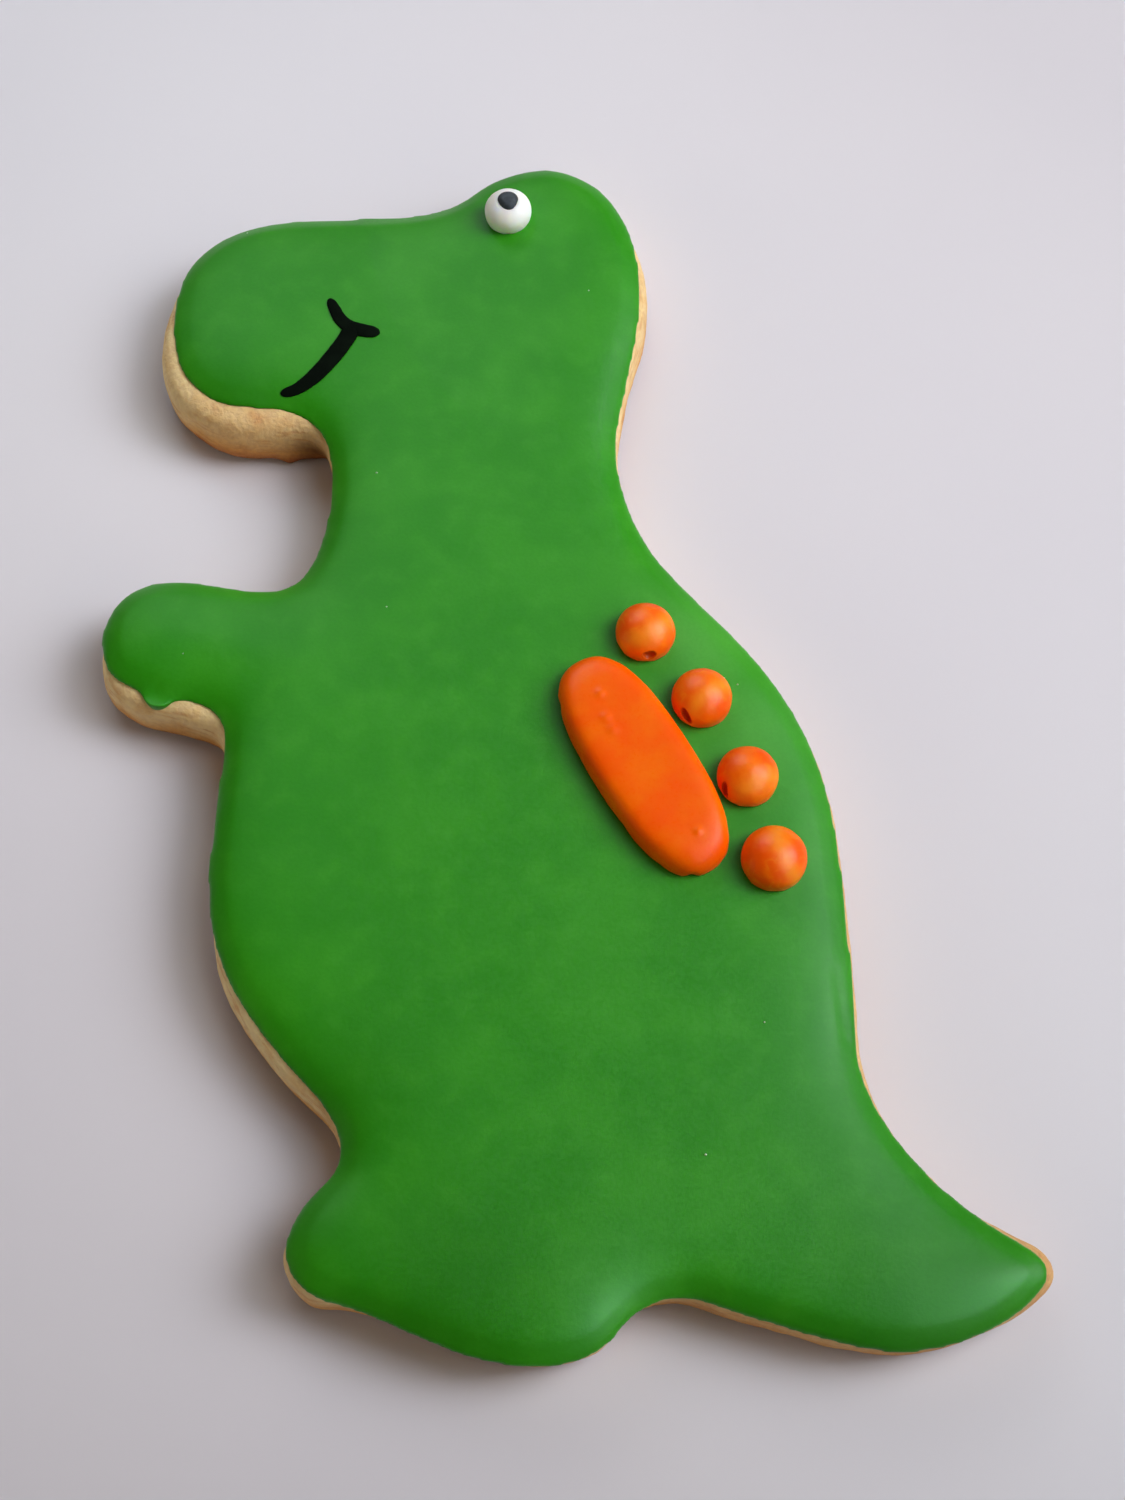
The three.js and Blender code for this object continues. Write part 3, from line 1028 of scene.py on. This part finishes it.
@dataclass
class PipedSpot:
    """A piped spot: a dome whose underside bonds to the icing."""

    node: str
    name: str
    slot: str
    colour: IcingColour
    grid: float = 0.11 * MM
    fullness: float = 1.0
    softness: int = 8
    lumpiness: float = 0.05 * MM
    foot: float = 0.8 * MM
    bond: float = 0.12 * MM
    craters: tuple[Crater, ...] = ()
    bumps: tuple[Bump, ...] = ()
    swirls: tuple[Swirl, ...] = ()

    def build(self, ground: bpy.types.Object) -> bpy.types.Object:
        """Models the spot from its solid.

        Args:
            ground: the piece that it is piped on.

        Returns:
            The finished piece.
        """
        piece = copy_of(self.node, self.name)
        low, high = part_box(self.node)
        middle = (low + high) / 2
        with edit_mode(piece):
            bpy.ops.mesh.tris_convert_to_quads()
        finish_with(piece, "SUBSURF", levels=2, render_levels=2)
        self.fill_out(piece, low.z, high.z)
        finish_with(piece, "REMESH", mode="VOXEL", voxel_size=self.grid)
        finish_with(piece, "SMOOTH", factor=0.5, iterations=self.softness)
        regain(piece, self.node)
        points = points_of(piece)
        for bump in self.bumps:
            apart = np.linalg.norm(points[:, :2] / MM - np.array(bump.at), axis=1)
            rise = bump.height * MM * np.exp(-((apart / bump.radius) ** 2))
            points[:, 2] += rise * smoothstep(points[:, 2], middle.z, high.z)
        move_points(piece, points)
        roughen(piece, "CLOUDS", 1.5 * MM, self.lumpiness)
        # Each crater's share is stored for the painted shade in its hollow.
        crater_shade = [crater.dig(piece, Vector((middle.x, middle.y, low.z))) for crater in self.craters]
        points = points_of(piece)
        store(piece, "painted_shade_share", np.maximum.reduce(crater_shade) if crater_shade else np.zeros(len(points)))
        # Pale swirls: partly streaks of paler icing, partly painted highlight on the dots' lit side.
        pale = [swirl.share(points, middle) for swirl in self.swirls]
        store(piece, "pale", np.maximum.reduce(pale) if pale else np.zeros(len(points)))
        settle(piece, ground, low.z, self.foot, self.bond)
        hand_over(piece, self.colour.value.build(), self.slot, self.node)
        return piece

    def fill_out(self, piece: bpy.types.Object, low: float, high: float) -> None:
        """Flattens the dome's top and steepens its sides by its fullness; 1 leaves it as it is.

        Args:
            piece: the smooth dome.
            low: the height of its foot, in metres.
            high: the height of its top, in metres.
        """
        points = points_of(piece)
        share = np.clip((points[:, 2] - low) / (high - low), 0, 1)
        points[:, 2] = low + (high - low) * (1 - (1 - share) ** self.fullness)
        move_points(piece, points)


@dataclass
class Stroke:
    """One piped line of the mouth: points of x, y and half width, in millimetres. Its end can be
    cut off square, along a line through two points, of which the part to the left goes."""

    name: str
    points: tuple[Point, ...]
    height: float = 0.32 * MM
    grid: float = 0.09 * MM
    lift: float = 0.06 * MM
    cut: tuple[tuple[float, float], tuple[float, float]] | None = None

    def build(self, ground: bpy.types.Object) -> bpy.types.Object:
        """Pipes the stroke as a tapered curve and lets it slump on the icing.

        Args:
            ground: the flooded icing.

        Returns:
            The finished piece.
        """
        bpy.ops.object.select_all(action="DESELECT")
        bpy.ops.curve.primitive_nurbs_path_add(location=(0, 0, 0))
        piece = bpy.context.active_object
        piece.name = piece.data.name = self.name
        spline = piece.data.splines[0]
        spline.points.add(len(self.points) - len(spline.points))
        for point, (x, y, half_width) in zip(spline.points, self.points, strict=True):
            point.co = (x * MM, y * MM, 0, 1)
            point.radius = half_width
        spline.use_endpoint_u = True
        spline.order_u = 3
        piece.data.bevel_depth = MM
        piece.data.bevel_resolution = 6
        piece.data.resolution_u = 12
        piece.data.use_fill_caps = True
        select_only(piece)
        bpy.ops.object.convert(target="MESH")
        piece = bpy.context.active_object
        finish_with(piece, "REMESH", mode="VOXEL", voxel_size=self.grid)
        finish_with(piece, "SMOOTH", factor=0.5, iterations=4)
        with edit_mode(piece):
            if self.cut:
                start, end = (Vector((x, y, 0)) * MM for x, y in self.cut)
                away = Vector((0, 0, 1)).cross(end - start)
                bpy.ops.mesh.bisect(plane_co=start, plane_no=away, use_fill=True, clear_outer=True)
                bpy.ops.mesh.select_all(action="SELECT")
            bpy.ops.transform.resize(value=(1, 1, self.height / (1.2 * MM)), center_override=(0, 0, 0))
            bpy.ops.transform.translate(value=(0, 0, ICING_TOP))
        roughen(piece, "CLOUDS", 0.7 * MM, 0.06 * MM)
        settle(piece, ground, ICING_TOP, 0, -self.lift)
        return piece


@dataclass
class Mouth:
    """The smile and the crease of the cheek, piped in black, which meet in a fine seam."""

    def build(self, ground: bpy.types.Object) -> None:
        """Models both strokes.

        Args:
            ground: the flooded icing.
        """
        black = IcingColour.BLACK.value.build()
        strokes = (
            Stroke("mouth_smile", (
                (-25.75, 31.2, 0.1), (-25.5, 31.25, 0.42), (-24.5, 31.42, 0.56), (-23.2, 32.15, 0.72),
                (-21.8, 33.6, 0.84), (-20.7, 35.1, 0.87), (-20.0, 36.2, 0.87), (-19.5, 37.1, 0.87),
                (-19.2, 37.8, 0.87), (-18.9, 38.5, 0.8),
            ), cut=((-20.05, 37.62), (-18.75, 37.0))),
            Stroke("mouth_crease", (
                (-21.45, 41.5, 0.1), (-21.35, 41.25, 0.46), (-20.9, 40.3, 0.58), (-20.4, 39.2, 0.64),
                (-19.6, 38.35, 0.7), (-18.6, 37.95, 0.74), (-17.7, 37.75, 0.72), (-16.95, 37.6, 0.62),
                (-16.55, 37.5, 0.4), (-16.4, 37.45, 0.08),
            )),
        )
        for stroke in strokes:
            hand_over(stroke.build(ground), black, "black_icing", "mouth_line")


@dataclass
class SugarGrains:
    """A few grains of sugar that dried on the green icing. Places in millimetres."""

    places: tuple[tuple[float, float], ...] = (
        (3.7, 42.6), (-30.1, 50.2), (-16.2, 22.2), (-14.8, 8.1), (16.8, 0.5), (12.8, -41.8), (-33.0, 3.5),
        (18.0, -30.7), (15.6, 1.1),
    )
    width: float = 0.21 * MM

    def build(self, ground: bpy.types.Object) -> None:
        """Strews the grains.

        Args:
            ground: the flooded icing.
        """
        tree = BVHTree.FromObject(ground, bpy.context.evaluated_depsgraph_get())
        grains = []
        for number, (x, y) in enumerate(self.places):
            spot = tree.ray_cast(Vector((x * MM, y * MM, 50 * MM)), Vector((0, 0, -1)))[0]
            bpy.ops.object.select_all(action="DESELECT")
            bpy.ops.mesh.primitive_ico_sphere_add(
                subdivisions=2, radius=self.width * (0.4 + 0.1 * (number % 3)),
                location=spot, rotation=(number, 2 * number, 0), scale=(1, 0.8, 0.7),
            )
            grains.append(bpy.context.active_object)
        select_only(*grains)
        bpy.ops.object.join()
        piece = bpy.context.active_object
        piece.name = piece.data.name = "sugar_grains"
        bpy.ops.object.transform_apply(location=True, rotation=True, scale=True)
        roughen(piece, "CLOUDS", 0.15 * MM, 0.05 * MM)
        hand_over(piece, IcingColour.GRAIN.value.build(), "green_icing")


@dataclass(frozen=True)
class SoftBox:
    """One soft box: azimuth from +X towards +Y and height, both in degrees, the power of its
    matte light and of its sheen, in watts, and the tint of its matte light."""

    azimuth: float
    height: float
    matte: float
    sheen: float = 0.0
    tint: str = "#FFFFFF"


@dataclass
class Studio:
    """The pale table, the soft lights and the camera."""

    camera_at: Point = (1.15, -77.7, 176.4)
    camera_tilt: float = 23.0
    lens: float = 50.0
    soft_boxes: tuple[SoftBox, ...] = (
        SoftBox(15, 42, 0.18, 0.3), SoftBox(0, 30, 0.055), SoftBox(20, 62, 0.078, 0.09),
        SoftBox(90, 30, 0.03, 0.044, "#FFF0DC"), SoftBox(315, 30, 0.04, 0.074, "#FFE8C8"),
        SoftBox(110, 35, 0.03, 0.18), SoftBox(190, 14, 0.055, 0.0, "#FFF0DC"),
        SoftBox(330, 48, 0.0, 0.13), SoftBox(0, 56, 0.0, 0.113),
    )
    box_size: float = 0.28
    box_distance: float = 0.45
    box_spread: float = 55.0
    aim_at: Point = (-6.0, 42.0, 0.0)
    sheen_tint: str = "#D8F0FF"
    room_tint: str = "#FFDDAE"
    room_light: float = 0.05
    backdrop: str = "#E4E1E6"
    table_size: float = 3.0

    def build(self) -> None:
        """Sets up everything that isn't the cookie."""
        self.add_floor()
        for number, box in enumerate(self.soft_boxes, 1):
            if box.matte:
                matte = self.add_light(f"soft_box_{number}", box, box.matte)
                matte.visible_glossy = False
                matte.data.color = srgb(box.tint)[:3]
            if box.sheen:
                sheen = self.add_light(f"soft_box_{number}_sheen", box, box.sheen)
                sheen.visible_diffuse = False
                sheen.data.color = srgb(self.sheen_tint)[:3]
        self.add_world()
        self.add_camera()
        bpy.context.scene.view_settings.view_transform = "Standard"

    def add_floor(self) -> None:
        """Lays the pale table."""
        bpy.ops.object.select_all(action="DESELECT")
        bpy.ops.mesh.primitive_plane_add(size=self.table_size, location=(0, 0, 0))
        floor = bpy.context.active_object
        floor.name = "table"
        floor.data.materials.append(GlazedTable("glazed_table_pale", roughness=0.35, ior=1.5).build())

    def add_light(self, name: str, box: SoftBox, power: float) -> bpy.types.Object:
        """Hangs one light of a soft box. It faces the cookie's upper half, and fades below.

        Args:
            name: the light's name.
            box: where it hangs.
            power: its power, in watts.

        Returns:
            The light.
        """
        level, turn = math.radians(box.height), math.radians(box.azimuth)
        flat = math.cos(level)
        towards = Vector((flat * math.cos(turn), flat * math.sin(turn), math.sin(level)))
        light = bpy.data.lights.new(name, "AREA")
        light.size = self.box_size
        light.spread = math.radians(self.box_spread)
        light.energy = power
        holder = bpy.data.objects.new(name, light)
        holder.location = towards * self.box_distance
        away = holder.location - Vector(self.aim_at) * MM
        holder.rotation_euler = away.to_track_quat("Z", "Y").to_euler()
        bpy.context.scene.collection.objects.link(holder)
        return holder

    def add_world(self) -> None:
        """Fills the room with a dim, even light, and shows it pale behind the table."""
        world = bpy.data.worlds.new("room")
        world.use_nodes = True
        bpy.context.scene.world = world
        tree = world.node_tree
        tree.nodes.clear()
        rays = add_node(tree, "LightPath").outputs["Is Camera Ray"]
        dim = add_node(tree, "Background", {"Color": srgb(self.room_tint), "Strength": self.room_light})
        seen = add_node(tree, "Background", {"Color": srgb(self.backdrop), "Strength": 1.0})
        both = add_node(tree, "MixShader", {0: rays, 1: dim.outputs[0], 2: seen.outputs[0]})
        add_node(tree, "OutputWorld", {"Surface": both.outputs[0]})

    def add_camera(self) -> None:
        """Places the camera over the cookie's near side."""
        camera = bpy.data.objects.new("camera", bpy.data.cameras.new("camera"))
        camera.data.lens = self.lens
        camera.data.clip_start = 0.01
        camera.location = Vector(self.camera_at) * MM
        camera.rotation_euler = (math.radians(self.camera_tilt), 0, 0)
        bpy.context.scene.collection.objects.link(camera)
        bpy.context.scene.camera = camera


def main() -> None:
    """Builds every sub-assembly in order."""
    logging.basicConfig(level=logging.INFO, format="%(name)s: %(message)s", stream=sys.stdout)
    cut_outline = Cookie().build()
    icing = FloodedIcing().build(cut_outline)
    PipedSpot(
        "spot_oval", "oval_spot", "orange_icing", IcingColour.ORANGE,
        grid=0.13 * MM, fullness=3.2, softness=24,
        bumps=(
            Bump((4.45, -1.7), 0.45, 0.12),
            Bump((4.95, -4.0), 0.5, 0.11),
            Bump((5.5, -5.1), 0.5, 0.11),
            Bump((12.7, -14.6), 0.35, 0.13),
        ),
    ).build(icing)
    # For each dot, its craters, whose hollows get painted shade, and its pale swirls, partly painted
    # highlight.
    marks = {
        1: ((Crater((0.29, -2.6, 1.06), 1.2, 0.9, 0.7, 0),), (Swirl((0.9, -0.6), 40, 0.9, 0.12),)),
        2: ((Crater((-1.51, -2.09, 1.17), 1.5, 0.75, 0.95, -40),), (Swirl((0.2, -0.5), 42, 0.7, -0.08),)),
        3: ((Crater((-2.11, -1.55, 1.08), 1.4, 0.7, 0.8, -56),), (Swirl((0.9, -1.2), 30, 0.9),)),
        4: ((), (Swirl((0.5, -0.2), -70, 0.75, 0.1),)),
    }
    for number, (craters, swirls) in marks.items():
        PipedSpot(
            f"dot_{number}", f"round_spot_{number}", "orange_dot_icing", IcingColour.ORANGE_SWIRLED,
            lumpiness=0.09 * MM, craters=craters, swirls=swirls,
        ).build(icing)
    dome = PipedSpot("eye_white", "eye_dome", "white_icing", IcingColour.WHITE, grid=0.1 * MM).build(icing)
    PipedSpot(
        "eye_pupil", "eye_dot", "slate_icing", IcingColour.SLATE, grid=0.05 * MM, lumpiness=0.02 * MM,
    ).build(dome)
    Mouth().build(icing)
    SugarGrains().build(icing)
    Studio().build()


if __name__ == "__main__":
    main()
